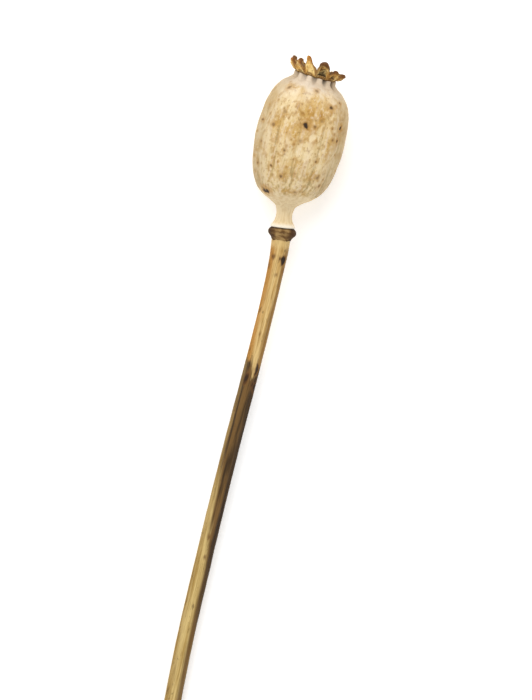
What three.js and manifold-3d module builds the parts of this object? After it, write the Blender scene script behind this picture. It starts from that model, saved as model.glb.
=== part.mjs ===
// A dried poppy seed head on its cut stem, lying on a flat surface.
// Units are millimetres and +Z is up. The stem runs along +Y, from its cut end to the crown.
// The origin is on the surface, under the middle of the bounding box.

import * as THREE from "three";
import { mergeVertices } from "three/addons/utils/BufferGeometryUtils.js";
import Module from "manifold-3d";

const wasm = await Module();
wasm.setup();

// Driving dimensions. A station is a distance along the plant's axis from the middle of the
// receptacle ring: negative down the stem, positive up to the crown.
const RAYS = 12; // stigma rays on the crown, and as many ribs on the capsule
const GAP = 0.1; // between pieces that grow out of each other
const CUT_END = -190;
const RING_FOOT = -1.8;
const RING_TOP = 1.45;
const CAPSULE_TOP = 47.5;

// How far the axis sways to the side, and how high it runs over the surface, as [station, value].
const SWAY = [
  [CUT_END, -3.4],
  [-132, -4.1],
  [-102, -3.4],
  [-66, -1.95],
  [-36, -0.35],
  [-20, 0.3],
  [-8, 0.5],
  [0, 0.15],
  [5, -0.25],
  [14, -0.65],
  [28, -0.15],
  [54, 0.85],
];
const HEIGHT = [
  [CUT_END, 2.7],
  [-168, 3.27],
  [-101, 4.6],
  [-50, 6.8],
  [0, 10.35],
  [54, 15.5],
];

// Outlines of the turned pieces, as [station, radius].
const CAPSULE_OUTLINE = [
  [RING_TOP + GAP, 3.65],
  [2.2, 3.5],
  [3.5, 2.75],
  [5.4, 2.42],
  [7.6, 2.9],
  [9.2, 4.8],
  [10.8, 7.5],
  [13, 9.7],
  [16.5, 11.5],
  [21.5, 12.8],
  [29.5, 13.5],
  [36.5, 12.9],
  [41, 11.5],
  [44.2, 9.2],
  [45.6, 7.3],
  [46.6, 6.3],
  [CAPSULE_TOP, 6.15],
];
const RING_OUTLINE = [
  [RING_FOOT, 2.95],
  [-1.2, 3.25],
  [-0.6, 3.75],
  [0, 4.0],
  [0.6, 3.85],
  [RING_TOP, 3.5],
];
const STEM_OUTLINE = [
  [CUT_END, 2.75],
  [-150, 2.6],
  [-60, 2.5],
  [-25, 2.42],
  [-12, 2.55],
  [RING_FOOT - GAP, 2.85],
];

// Ribs run up the capsule from its smooth foot and splay as struts under the crown, as [station, height].
const RIB_HEIGHT = [
  [9.5, 0],
  [13, 0.2],
  [30, 0.26],
  [42, 0.24],
  [46, 0.3],
  [CAPSULE_TOP, 0.4],
];
const CAPSULE_SIDES = 6 * RAYS;
const CAPSULE_STEPS = 3; // rings between two points of the outline
const RING_SIDES = 36;

// The dried stem is finely ridged. A leaf joint swells it just above the cut, and keeps the stub of its leaf.
const STEM_SIDES = 16;
const STEM_RINGS = 40;
const STEM_RIDGE = 0.09;
const CUT_SLANT = 0.55; // rise of the slanting cut, for each millimetre across
const CUT_LENGTH = 12; // stretch of stem that the slant fades over
const JOINT_SWELL = 0.65;
const JOINT_REACH = 5;
const JOINT_STATION = -168;
const STUB_TURN = -1.05; // about the stem, from its top towards the right
const STUB_LENGTH = 3.4;
const STUB_RADIUS = 1.3;
const STUB_LEAN = 0.75; // angle between a stub and the stem

// The crown is a thin dished disc with rays that run out from its middle and curl up past its rim,
// arched like gutters turned over. Its distances are from the crown's own axis and from its foot.
const CROWN_TILT = 0.05; // radians, shared by the capsule's top
const TILT_FROM = 40; // station where the capsule begins to follow the tilt
const DISC_OUTLINE = [
  [0, 0],
  [6, 0],
  [6.5, 0.35],
  [6.1, 0.7],
  [3, 0.6],
  [0, 0.5],
];
const DISC_SIDES = 48;
const RAY_PATH = [
  [0.8, 0.6],
  [3.4, 0.6],
  [5.8, 0.75],
  [7.4, 1.6],
  [8.1, 3],
  [8.3, 4.4],
];
const RAY_OUTLINE = [
  [0, 0.3],
  [3, 0.6],
  [5.4, 1.25],
  [7.2, 1.6],
  [9.2, 1.3],
  [10.6, 1.05],
  [11.2, 0.55],
];
const RAY_SIDES = 10;
const RAY_FLATNESS = 0.36;
const RAY_ARCH = 0.5; // how far a ray's middle stands over its edges, for each millimetre of half-width
const RAY_DROOP = 0.42; // share of its rise that a ray on the right side loses
const RAY_SPREAD = 0.06; // share by which it reaches further out

const STRAW = new THREE.MeshStandardMaterial({ color: 0xe2cda0, roughness: 0.75, metalness: 0 });
const GOLDEN_BROWN = new THREE.MeshStandardMaterial({ color: 0xa9762f, roughness: 0.7, metalness: 0 });
const DARK_BROWN = new THREE.MeshStandardMaterial({ color: 0x6b4f33, roughness: 0.8, metalness: 0 });
const STEM_TAN = new THREE.MeshStandardMaterial({ color: 0xb3894e, roughness: 0.7, metalness: 0 });

// A smooth function through a few [station, value] pairs: cubic pieces that never overshoot.
function through(pairs) {
  const last = pairs.length - 1;
  const rise = (i) => (pairs[i + 1][1] - pairs[i][1]) / (pairs[i + 1][0] - pairs[i][0]);
  const slopes = pairs.map((_, i) => {
    if (i === 0) return rise(0);
    if (i === last) return rise(last - 1);
    const [before, after] = [rise(i - 1), rise(i)];
    return before * after > 0 ? (2 * before * after) / (before + after) : 0;
  });
  return (station) => {
    const s = THREE.MathUtils.clamp(station, pairs[0][0], pairs[last][0]);
    let i = 0;
    while (i < last - 1 && s > pairs[i + 1][0]) i += 1;
    const span = pairs[i + 1][0] - pairs[i][0];
    const t = (s - pairs[i][0]) / span;
    const [v0, v1] = [pairs[i][1], pairs[i + 1][1]];
    const even = v0 + (v1 - v0) * t * t * (3 - 2 * t);
    return even + span * t * (1 - t) * (slopes[i] * (1 - t) - slopes[i + 1] * t);
  };
}

// Stations at even steps between the points of an outline.
function stationsOf(outline, steps) {
  const stations = [outline[0][0]];
  for (let i = 0; i + 1 < outline.length; i += 1) {
    const [from, to] = [outline[i][0], outline[i + 1][0]];
    for (let k = 1; k <= steps; k += 1) stations.push(from + ((to - from) * k) / steps);
  }
  return stations;
}

// A closed piece turned about its own +Y axis, whose radius is a function of the station.
function turned(stations, radiusAt, sides) {
  const points = stations.map((s) => new THREE.Vector2(radiusAt(s), s));
  points.unshift(new THREE.Vector2(0, stations[0]));
  points.push(new THREE.Vector2(0, stations[stations.length - 1]));
  return new THREE.LatheGeometry(points, sides);
}

// Moves every vertex of a geometry by a function of its place.
function reshape(geometry, move) {
  const position = geometry.getAttribute("position");
  const p = new THREE.Vector3();
  for (let i = 0; i < position.count; i += 1) {
    move(p.fromBufferAttribute(position, i));
    position.setXYZ(i, p.x, p.y, p.z);
  }
  return geometry;
}

// Pushes a vertex out from the +Y axis. The axis itself stays where it is.
function pushOut(p, distance) {
  const r = Math.hypot(p.x, p.z);
  if (r > 1e-6) {
    p.x *= 1 + distance / r;
    p.z *= 1 + distance / r;
  }
}

// Bends a piece that was made along +Y onto a line in space.
function bend(geometry, pointAt) {
  const step = 0.05;
  const up = new THREE.Vector3(0, 0, 1);
  return reshape(geometry, (p) => {
    const along = pointAt(p.y + step).sub(pointAt(p.y - step)).normalize();
    const side = along.clone().cross(up).normalize();
    const over = side.clone().cross(along);
    p.copy(pointAt(p.y).addScaledVector(side, p.x).addScaledVector(over, p.z));
  });
}

// A geometry as a solid that can be joined and cut, and back again.
function solid(geometry) {
  const bare = geometry.clone().deleteAttribute("normal").deleteAttribute("uv");
  const merged = mergeVertices(bare, 1e-4);
  return new wasm.Manifold(
    new wasm.Mesh({
      numProp: 3,
      vertProperties: merged.getAttribute("position").array,
      triVerts: new Uint32Array(merged.index.array),
    }),
  );
}

function geometryOf(body) {
  const { vertProperties, triVerts } = body.getMesh();
  const geometry = new THREE.BufferGeometry();
  geometry.setAttribute("position", new THREE.BufferAttribute(vertProperties, 3));
  geometry.setIndex(new THREE.BufferAttribute(triVerts, 1));
  geometry.computeVertexNormals();
  return geometry;
}

function named(name, geometry, material) {
  const mesh = new THREE.Mesh(geometry, material);
  mesh.name = name;
  return mesh;
}

// The plant's axis, from the cut end to the crown.
const swayAt = through(SWAY);
const heightAt = through(HEIGHT);
const axisAt = (station) => {
  const straightEnd = Math.min(station, HEIGHT.at(-1)[0]);
  const beyond = station - straightEnd;
  return new THREE.Vector3(swayAt(straightEnd), straightEnd + beyond, heightAt(straightEnd));
};

// Seed capsule with its neck and pale lip. It is cut flat where it lies on the surface.
function capsule() {
  const radiusAt = through(CAPSULE_OUTLINE);
  const ribAt = through(RIB_HEIGHT);
  const stations = stationsOf(CAPSULE_OUTLINE, CAPSULE_STEPS);
  const geometry = reshape(turned(stations, radiusAt, CAPSULE_SIDES), (p) => {
    const turn = Math.atan2(p.x, p.z);
    const share = Math.hypot(p.x, p.z) / radiusAt(p.y);
    pushOut(p, -share * ribAt(p.y) * Math.cos(RAYS * turn));
    p.y -= CROWN_TILT * p.x * THREE.MathUtils.smoothstep(p.y, TILT_FROM, CAPSULE_TOP);
  });
  const ground = new THREE.BoxGeometry(100, 100, 20).translate(0, 30, -10);
  return geometryOf(solid(bend(geometry, axisAt)).subtract(solid(ground)));
}

// Swollen ring at the top of the stem, where the petals fell away.
function receptacleRing() {
  const radiusAt = through(RING_OUTLINE);
  return bend(turned(stationsOf(RING_OUTLINE, 2), radiusAt, RING_SIDES), axisAt);
}

// The leaf joint's stub, pointing up the stem and out of it.
function stub() {
  const peg = new THREE.CylinderGeometry(0.55 * STUB_RADIUS, STUB_RADIUS, 2 * STUB_LENGTH, 7);
  peg.translate(0, STUB_LENGTH, 0).rotateX(STUB_LEAN).rotateY(STUB_TURN);
  const foot = axisAt(JOINT_STATION);
  return peg.translate(foot.x, foot.y, foot.z);
}

// Cut stem with fine ridges, a leaf joint and a slanting cut.
function stem() {
  const radiusAt = through(STEM_OUTLINE);
  const swellAt = (s) => JOINT_SWELL * Math.exp(-(((s - JOINT_STATION) / JOINT_REACH) ** 2));
  const ends = [CUT_END, RING_FOOT - GAP];
  const stations = Array.from({ length: STEM_RINGS + 1 }, (_, i) =>
    THREE.MathUtils.lerp(ends[0], ends[1], i / STEM_RINGS),
  );
  stations.push(JOINT_STATION - JOINT_REACH / 2, JOINT_STATION, JOINT_STATION + JOINT_REACH / 2);
  stations.sort((a, b) => a - b);
  const geometry = reshape(turned(stations, (s) => radiusAt(s) + swellAt(s), STEM_SIDES), (p) => {
    const turn = Math.atan2(p.x, p.z);
    const fade = THREE.MathUtils.smoothstep(-p.y, 3, 12);
    const share = Math.hypot(p.x, p.z) / radiusAt(p.y);
    pushOut(p, -share * fade * STEM_RIDGE * Math.cos((STEM_SIDES / 2) * turn));
    p.y += CUT_SLANT * p.z * Math.max(0, 1 - (p.y - CUT_END) / CUT_LENGTH);
  });
  return geometryOf(solid(bend(geometry, axisAt)).add(solid(stub())));
}

// One ray of the crown, from the disc's middle out to its curled tip.
function ray(index) {
  const angle = ((index + 0.5) / RAYS) * 2 * Math.PI;
  const leaning = Math.max(0, -Math.sin(angle)) ** 2;
  const lift = 0.96 + 0.09 * Math.sin(5 * index + 1) - RAY_DROOP * leaning;
  const reach = 1 + 0.05 * Math.sin(3 * index + 2) + RAY_SPREAD * leaning;
  const path = new THREE.CatmullRomCurve3(
    RAY_PATH.map(([out, rise]) => new THREE.Vector3(0, reach * out, lift * rise)),
  );
  const length = RAY_OUTLINE.at(-1)[0];
  const widthAt = through(RAY_OUTLINE);
  const blade = turned(stationsOf(RAY_OUTLINE, 2), widthAt, RAY_SIDES);
  reshape(blade, (p) => {
    const width = widthAt(p.y);
    const arch = RAY_ARCH * THREE.MathUtils.smoothstep(p.y / length, 0.2, 0.8);
    p.z = RAY_FLATNESS * p.z + arch * width * (1 - (p.x / width) ** 2);
  });
  const pathAt = (s) => path.getPointAt(THREE.MathUtils.clamp(s / length, 0, 1));
  return bend(blade, pathAt).rotateX(-Math.PI / 2).rotateY(angle);
}

// Crown of stigma rays on a dished disc.
function stigmaCrown() {
  const points = DISC_OUTLINE.map(([r, h]) => new THREE.Vector2(r, h));
  let body = solid(new THREE.LatheGeometry(points, DISC_SIDES));
  for (let i = 0; i < RAYS; i += 1) body = body.add(solid(ray(i)));
  const geometry = geometryOf(body).rotateZ(-CROWN_TILT).translate(0, CAPSULE_TOP + GAP, 0);
  return bend(geometry, axisAt);
}

const plant = new THREE.Group();
plant.add(
  named("capsule", capsule(), STRAW),
  named("stigma_crown", stigmaCrown(), GOLDEN_BROWN),
  named("receptacle_ring", receptacleRing(), DARK_BROWN),
  named("stem", stem(), STEM_TAN),
);

// The middle of the box goes over the origin. The surface is already at height 0.
const middle = new THREE.Box3().setFromObject(plant, true).getCenter(new THREE.Vector3());
plant.position.set(-middle.x, -middle.y, 0);

const part = new THREE.Group();
part.add(plant);

export default part;
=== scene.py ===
# %% [markdown]
# # A dried poppy seed head
# One ripe capsule of a garden poppy, dried on its cut stem and lying on a white table. Four things grew
# one out of another: the stem, the dark ring where the petals sat, the egg-shaped capsule and its crown
# of curled rays. The frame holds all four as plain solids, and this lesson gives each its real surface.

# %% Load the frame
import math
import random

import bmesh
import bpy
from mathutils import Matrix, Vector, noise
from mathutils.bvhtree import BVHTree
from mathutils.kdtree import KDTree


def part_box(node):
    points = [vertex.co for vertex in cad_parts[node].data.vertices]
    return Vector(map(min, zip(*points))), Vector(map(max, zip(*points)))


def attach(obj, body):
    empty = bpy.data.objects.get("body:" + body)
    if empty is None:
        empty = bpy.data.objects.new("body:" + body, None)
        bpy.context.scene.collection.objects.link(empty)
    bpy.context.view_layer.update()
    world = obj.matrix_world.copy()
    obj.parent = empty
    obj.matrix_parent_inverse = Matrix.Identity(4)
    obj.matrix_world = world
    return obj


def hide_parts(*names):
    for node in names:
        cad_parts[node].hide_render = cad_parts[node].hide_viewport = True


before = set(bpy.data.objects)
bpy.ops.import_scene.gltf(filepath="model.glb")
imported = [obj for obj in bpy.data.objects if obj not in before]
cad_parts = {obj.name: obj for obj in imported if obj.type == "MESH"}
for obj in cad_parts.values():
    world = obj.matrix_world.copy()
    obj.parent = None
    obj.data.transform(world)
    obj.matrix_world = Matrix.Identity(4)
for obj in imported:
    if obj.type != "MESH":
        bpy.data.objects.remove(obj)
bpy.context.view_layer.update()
MM = 0.001

# %% [markdown]
# ## Measuring along the plant
# A plant is easiest to measure along its own axis. A station is the distance in millimetres from the
# middle of the ring: negative down the stem, positive up to the crown. A few pairs of numbers say how the
# axis sways, how high it runs and how thick each piece is, and one function draws a smooth line through
# them. A drawn curve could do it too, but a function can be asked for its value at any station.

# %% Smooth lines through a few pairs
def through(pairs):
    """A smooth function through (station, value) pairs that never overshoots."""
    last = len(pairs) - 1
    rises = [(b[1] - a[1]) / (b[0] - a[0]) for a, b in zip(pairs, pairs[1:])]
    slopes = [rises[0]]
    for before, after in zip(rises, rises[1:]):
        slopes.append(2 * before * after / (before + after) if before * after > 0 else 0)
    slopes.append(rises[-1])

    def value(station):
        s = min(max(station, pairs[0][0]), pairs[last][0])
        i = 0
        while i < last - 1 and s > pairs[i + 1][0]:
            i += 1
        span = pairs[i + 1][0] - pairs[i][0]
        t = (s - pairs[i][0]) / span
        low, high = pairs[i][1], pairs[i + 1][1]
        even = low + (high - low) * t * t * (3 - 2 * t)
        return even + span * t * (1 - t) * (slopes[i] * (1 - t) - slopes[i + 1] * t)

    return value


def ease(low, high, value):
    """0 below low, 1 above high, and a soft slope between them."""
    t = min(max((value - low) / (high - low), 0), 1)
    return t * t * (3 - 2 * t)


print("a soft slope from 0 to 4 has risen to", round(ease(0, 4, 1), 3), "at 1")

# %% [markdown]
# ## The axis of the plant
# A cut stem lies in a slow curve. It touches the table near its cut end and rises to the ring, and the
# capsule rests on its belly. The axis could be traced as a curve object. Two smooth lines, one for its sway
# to the side and one for its height, give the same curve and can be read at any station. The ring of the
# frame then says where station 0 lies.

# %% The axis from the cut end to the crown
CUT_END = -190
RING_FOOT = -1.8
RING_TOP = 1.45
CAPSULE_TOP = 47.5
GAP = 0.1
AXIS_END = 54
sway = through((
    (CUT_END, -3.4), (-132, -4.1), (-102, -3.4), (-66, -1.95), (-36, -0.35), (-20, 0.3), (-8, 0.5),
    (0, 0.15), (5, -0.25), (14, -0.65), (28, -0.15), (AXIS_END, 0.85),
))
height = through((
    (CUT_END, 2.7), (-168, 3.27), (-101, 4.6), (-50, 6.8), (0, 10.35), (AXIS_END, 15.5),
))


def axis_point(station):
    """The axis in millimetres, with the middle of the ring at the origin of X and Y."""
    return Vector((sway(station), station, height(station)))


ring_low, ring_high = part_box("receptacle_ring")
ring_middle = (ring_low + ring_high) / 2 / MM
ring_station = (RING_FOOT + RING_TOP) / 2
place = ring_middle - axis_point(ring_station)
place.z = 0
print("station 0 is at", [round(v, 2) for v in place], "mm in the frame")

# %% [markdown]
# ## Growing straight, then bending
# Every piece is modelled on a straight axis along Y, where turning and ribbing are simple, and only its
# last step bends it onto the plant's own axis. A Curve modifier would bend a mesh as well. Doing it in
# code keeps the straight place of each point, which is stored on the mesh, so that colour can follow
# the growth of the plant: streaks along it, bands around it.

# %% Bend a straight plant
UP = Vector((0, 0, 1))
FRAME_STEP = 0.5
LOOK_AHEAD = 0.05
known_frames = {}


def axis_frame(station):
    """Point, side, over and along of the axis at a whole step, kept for the next time."""
    step = round(station / FRAME_STEP)
    if step not in known_frames:
        s = step * FRAME_STEP
        along = (axis_point(s + LOOK_AHEAD) - axis_point(s - LOOK_AHEAD)).normalized()
        side = along.cross(UP).normalized()
        known_frames[step] = (axis_point(s), side, side.cross(along), along, s)
    return known_frames[step]


def bent(p):
    """A point of the straight plant, in millimetres, as a place in the frame, in metres."""
    point, side, over, along, s = axis_frame(p.y)
    return (point + side * p.x + over * p.z + along * (p.y - s) + place) * MM


print("the crown ends at", [round(v, 4) for v in bent(Vector((0, AXIS_END, 0)))], "m in the frame")

# %% [markdown]
# ## Spinning a skin
# Stem, ring and capsule are round things, so each starts as half an outline that is spun about the axis,
# as a turner would read it. Primitive cylinders could be scaled to fit, but an outline holds every swelling
# and lip at once. The doubles at the poles and the seam are merged, and then the faces are turned outwards.

# %% Spin, push and store
MERGE = 1e-4
ON_AXIS = 1e-4


def turned(outline, steps):
    """Spins an outline of (radius, station) points about the axis into a closed skin."""
    bm = bmesh.new()
    verts = [bm.verts.new((0, station, radius)) for radius, station in outline]
    edges = [bm.edges.new(pair) for pair in zip(verts, verts[1:])]
    bmesh.ops.spin(
        bm, geom=verts + edges, axis=(0, 1, 0), cent=(0, 0, 0), steps=steps, angle=math.tau, use_merge=True
    )
    bmesh.ops.remove_doubles(bm, verts=bm.verts, dist=MERGE)
    bmesh.ops.recalc_face_normals(bm, faces=bm.faces)
    return bm


def turn_of(p):
    """The angle of a point about the axis: 0 on top, positive to the right."""
    return math.atan2(p.x, p.z)


def push_out(p, distance):
    """Moves a point away from the axis."""
    r = math.hypot(p.x, p.z)
    if r > ON_AXIS:
        p.x *= 1 + distance / r
        p.z *= 1 + distance / r


def grow(bm):
    """Stores each point's straight place and bends the mesh. Nothing goes below the table."""
    grown = bm.verts.layers.float_vector.new("grown")
    for v in bm.verts:
        v[grown] = v.co
        v.co = bent(v.co)
        v.co.z = max(v.co.z, 0)


# %% [markdown]
# ## Handing a piece to the frame
# A finished piece moves with the plant's one body, stands in for one plain solid, which is hidden, and has
# its own material. It could be linked by hand each time. One function does it the same way for all four
# pieces, and counts their triangles, because very fine meshes are thinned when they are exported.

# %% Make an object of a mesh
def finished(name, bm, solid, material):
    """Makes the piece, gives it to the frame and hides the solid that it stands for."""
    mesh = bpy.data.meshes.new(name)
    bm.to_mesh(mesh)
    bm.free()
    mesh.shade_smooth()
    mesh.materials.append(material)
    piece = bpy.data.objects.new(name, mesh)
    bpy.context.collection.objects.link(piece)
    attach(piece, "root")
    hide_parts(solid)
    triangles = sum(len(face.vertices) - 2 for face in mesh.polygons)
    print(name, "has", triangles, "triangles")


# %% [markdown]
# ## Camera
# A cut stem lies down, so the camera looks straight down on it, from far away with a long lens, as a
# flat-lay photograph is taken. A near camera would swell the capsule. It is turned about its own axis so that
# the stem leans in the picture, and it is framed on the head and the upper stem, so that the last stretch of
# the stem runs out of the picture.

# %% Camera over the table
PICTURE = (532, 700)
RING_PIXEL = (282, 233)
MM_PER_PIXEL = 0.3
LEAN = math.radians(11.5)
CAMERA_HEIGHT = 2.4
CAMERA_REACH = 20
SENSOR = 36

right = Vector((math.cos(LEAN), math.sin(LEAN), 0))
up_in_picture = Vector((-math.sin(LEAN), math.cos(LEAN), 0))
across = (PICTURE[0] / 2 - RING_PIXEL[0]) * MM_PER_PIXEL * MM
down = (PICTURE[1] / 2 - RING_PIXEL[1]) * MM_PER_PIXEL * MM
over_ring = ring_middle * MM
aim = over_ring + right * across - up_in_picture * down

camera_data = bpy.data.cameras.new("camera")
camera_data.sensor_width = SENSOR
camera_data.lens = SENSOR * (CAMERA_HEIGHT - over_ring.z) / (PICTURE[1] * MM_PER_PIXEL * MM)
camera_data.clip_end = CAMERA_REACH
camera = bpy.data.objects.new("camera", camera_data)
camera.location = (aim.x, aim.y, CAMERA_HEIGHT)
camera.rotation_euler = (0, 0, LEAN)
bpy.context.collection.objects.link(camera)
bpy.context.scene.camera = camera
print("lens", round(camera_data.lens, 1), "mm over", [round(v, 3) for v in aim])

# %% [markdown]
# ## Light
# The light is a plain bright studio: a white surround that fills every side, and one large soft lamp that
# gives the capsule its roundness. Several small lamps would do it too, but each would leave a hard shadow.
# The view transform is Standard, so that the white of the table stays white.

# %% White surround and soft lamp
SURROUND = 0.72
LAMP_SIZE = 1.8
LAMP_POWER = 25
LAMP_FROM_AIM = Vector((-0.5, 1.3, 1.9))

scene = bpy.context.scene
scene.view_settings.view_transform = "Standard"
scene.view_settings.look = "None"

world = bpy.data.worlds.new("white surround")
world.use_nodes = True
background = world.node_tree.nodes["Background"]
background.inputs["Color"].default_value = (1, 1, 1, 1)
background.inputs["Strength"].default_value = SURROUND
scene.world = world

lamp_data = bpy.data.lights.new("soft lamp", "AREA")
lamp_data.shape = "DISK"
lamp_data.size = LAMP_SIZE
lamp_data.energy = LAMP_POWER
lamp = bpy.data.objects.new("soft lamp", lamp_data)
lamp.location = aim + LAMP_FROM_AIM
lamp.rotation_euler = (aim - lamp.location).to_track_quat("-Z", "Y").to_euler()
bpy.context.collection.objects.link(lamp)
print("lamp hangs", round(LAMP_FROM_AIM.length, 2), "m from the plant")

# %% [markdown]
# ## Table
# The table is a white board, one flat face that is much larger than the picture. A curved backdrop is the
# other usual way, but the camera looks straight down and would never see its curve.

# %% White table
TABLE_REACH = 6

table_bm = bmesh.new()
bmesh.ops.create_grid(table_bm, x_segments=1, y_segments=1, size=TABLE_REACH)
table_mesh = bpy.data.meshes.new("table")
table_bm.to_mesh(table_mesh)
table_bm.free()
table = bpy.data.objects.new("table", table_mesh)
bpy.context.collection.objects.link(table)
print("table reaches", max(v.co.x for v in table_mesh.vertices), "m from its middle")

# %% [markdown]
# ## Shader helpers
# A finish here is a stack of layers: a ground colour, then stains and bloom laid over it by masks. It could
# be painted as an image, but nodes stay sharp from any distance. These helpers each add one node or two and
# return the output, so that a finish reads as a list of layers.

# %% Nodes and colours
def colour(red, green, blue):
    """A colour given as screen values from 0 to 255, made linear for the shader."""
    linear = [
        v / 12.92 if v <= 0.04045 else ((v + 0.055) / 1.055) ** 2.4
        for v in (red / 255, green / 255, blue / 255)
    ]
    return (*linear, 1)


def node(tree, kind, inputs=(), **settings):
    """Adds a node. A pair in inputs is a socket and its value or its link."""
    made = tree.nodes.new(kind)
    for key, value in settings.items():
        setattr(made, key, value)
    for socket, value in inputs:
        if isinstance(value, bpy.types.NodeSocket):
            tree.links.new(value, made.inputs[socket])
        else:
            made.inputs[socket].default_value = value
    return made


def marked(tree, name, output="Fac"):
    """A value stored on the mesh."""
    return node(tree, "ShaderNodeAttribute", attribute_name=name).outputs[output]


print("half-bright grey is", round(colour(128, 128, 128)[0], 3), "in linear light")

# %% Noise, masks and sums
def cloud(tree, vector, scale, detail=3, roughness=0.5, distortion=0):
    """Soft noise at so many waves a millimetre along (across, stem, up)."""
    stretched = node(tree, "ShaderNodeVectorMath", ((0, vector), (1, scale)), operation="MULTIPLY")
    inputs = (
        ("Vector", stretched.outputs["Vector"]),
        ("Scale", 1),
        ("Detail", detail),
        ("Roughness", roughness),
        ("Distortion", distortion),
    )
    return node(tree, "ShaderNodeTexNoise", inputs).outputs["Fac"]


def mask(tree, value, low, high):
    """0 at low and 1 at high, softly."""
    inputs = (("Value", value), ("From Min", low), ("From Max", high))
    return node(tree, "ShaderNodeMapRange", inputs, interpolation_type="SMOOTHSTEP").outputs["Result"]


def calc(tree, operation, first, second=0):
    """One sum on two values."""
    return node(tree, "ShaderNodeMath", ((0, first), (1, second)), operation=operation).outputs["Value"]


def times(tree, first, second):
    """Two values multiplied."""
    return calc(tree, "MULTIPLY", first, second)


def plus(tree, first, second):
    """Two values added."""
    return calc(tree, "ADD", first, second)


def from_axis(tree, x, z):
    """The distance from the axis."""
    return calc(tree, "SQRT", plus(tree, calc(tree, "POWER", x, 2), calc(tree, "POWER", z, 2)))


def flank_of(tree, grown):
    """-1 on the left flank of the plant, 0 on top and underneath, 1 on the right flank."""
    x, _, z = node(tree, "ShaderNodeSeparateXYZ", (("Vector", grown),)).outputs
    return calc(tree, "DIVIDE", x, from_axis(tree, x, z))


def station_of(tree, grown):
    """The station of a place."""
    return node(tree, "ShaderNodeSeparateXYZ", (("Vector", grown),)).outputs["Y"]


# %% Layers, relief and the shader
SHINE = 0.25


def laid(tree, share, under, over):
    """One colour laid over another."""
    inputs = ((0, share), (6, under), (7, over))
    return node(tree, "ShaderNodeMix", inputs, data_type="RGBA", blend_type="MIX").outputs[2]


def washed(tree, tint, share, strength, wash):
    """A thin wash of colour over a tint, at most as strong as strength."""
    return laid(tree, times(tree, share, strength), tint, wash)


def raised(tree, value, distance, below=None):
    """Bump from a value, distance in metres for a step of 1."""
    inputs = [("Height", value), ("Distance", distance), ("Strength", 1)]
    if below is not None:
        inputs.append(("Normal", below))
    return node(tree, "ShaderNodeBump", inputs).outputs["Normal"]


def finish(name):
    """A new material and its tree."""
    material = bpy.data.materials.new(name)
    material.use_nodes = True
    return material, material.node_tree


def shade(material, tint, roughness, normal):
    """Plugs the last layers into the shader. Dry skin shines little."""
    tree = material.node_tree
    shader = tree.nodes["Principled BSDF"]
    shader.inputs["Specular IOR Level"].default_value = SHINE
    tree.links.new(tint, shader.inputs["Base Color"])
    tree.links.new(roughness, shader.inputs["Roughness"])
    tree.links.new(normal, shader.inputs["Normal"])
    print(material.name, "has", len(tree.nodes), "nodes")
    return shader


# %% [markdown]
# ## Finish of the table
# The board is matt and white, and it glows a little, as a light table does, so that shadows stay faint and
# both flanks of the plant are lit. Stronger lamps from below would need a glass table. A faint tooth keeps
# the board from looking like nothing at all.

# %% White board
TOOTH_WAVES = (400, 400, 400)
GLOW = 0.3


def table_finish():
    """White matt board with the faintest tooth."""
    material, tree = finish("white board")
    tooth = cloud(tree, node(tree, "ShaderNodeTexCoord").outputs["Object"], TOOTH_WAVES)
    tint = laid(tree, tooth, colour(250, 250, 249), colour(253, 253, 253))
    shader = shade(material, tint, mask(tree, tooth, -3, 2), raised(tree, tooth, 0.00002))
    shader.inputs["Emission Color"].default_value = (1, 1, 1, 1)
    shader.inputs["Emission Strength"].default_value = GLOW
    return material


table_mesh.materials.append(table_finish())

# %% [markdown]
# ## Capsule
# The capsule is a thin dry shell. It is smooth at its foot and neck, faintly ribbed higher up, and just
# under the crown the ribs become pale struts with hollows between them, where the seeds fall out, and
# painted shade darkens the hollows.
# It could be sculpted from a sphere. Spinning its outline and pushing the points out and in by formulas
# keeps the ribs even and lets small dents and stains share one list of places.

# %% Outline of the capsule
RAYS = 12
CAPSULE_STEPS = 384
CAPSULE_PITCH = 0.3
CAPSULE_FOOT = RING_TOP + GAP
CAPSULE_BELLY = 29.5
OUTLINE_STEP = 0.02
capsule_radius = through((
    (CAPSULE_FOOT, 3.6), (1.85, 3.72), (2.25, 3.5), (3.5, 2.75), (5.4, 2.42), (7.6, 2.9), (9.2, 4.8),
    (10.8, 7.5), (13, 9.7), (16.5, 11.5), (21.5, 12.8), (CAPSULE_BELLY, 13.5), (36.5, 12.9), (41, 11.5),
    (44.2, 9.2), (45.6, 7.3), (46.6, 6.3), (CAPSULE_TOP, 6.15),
))
rib_height = through(((9.5, 0), (13, 0.2), (30, 0.26), (42, 0.24), (46, 0.3), (CAPSULE_TOP, 0.4)))


def outline_of(low, high, radius, pitch):
    """(radius, station) points evenly along a skin, closed on the axis at both ends."""
    outline = [(0, low), (radius(low), low)]
    steps = math.ceil((high - low) / OUTLINE_STEP)
    run = 0
    for k in range(steps):
        a = low + (high - low) * k / steps
        b = low + (high - low) * (k + 1) / steps
        run += math.hypot(b - a, radius(b) - radius(a))
        if run > pitch or k == steps - 1:
            outline.append((radius(b), b))
            run = 0
    return outline + [(0, high)]


capsule_outline = outline_of(CAPSULE_FOOT, CAPSULE_TOP, capsule_radius, CAPSULE_PITCH)
print("capsule is", 2 * capsule_radius(CAPSULE_BELLY), "mm wide, from", len(capsule_outline), "points")
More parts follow.
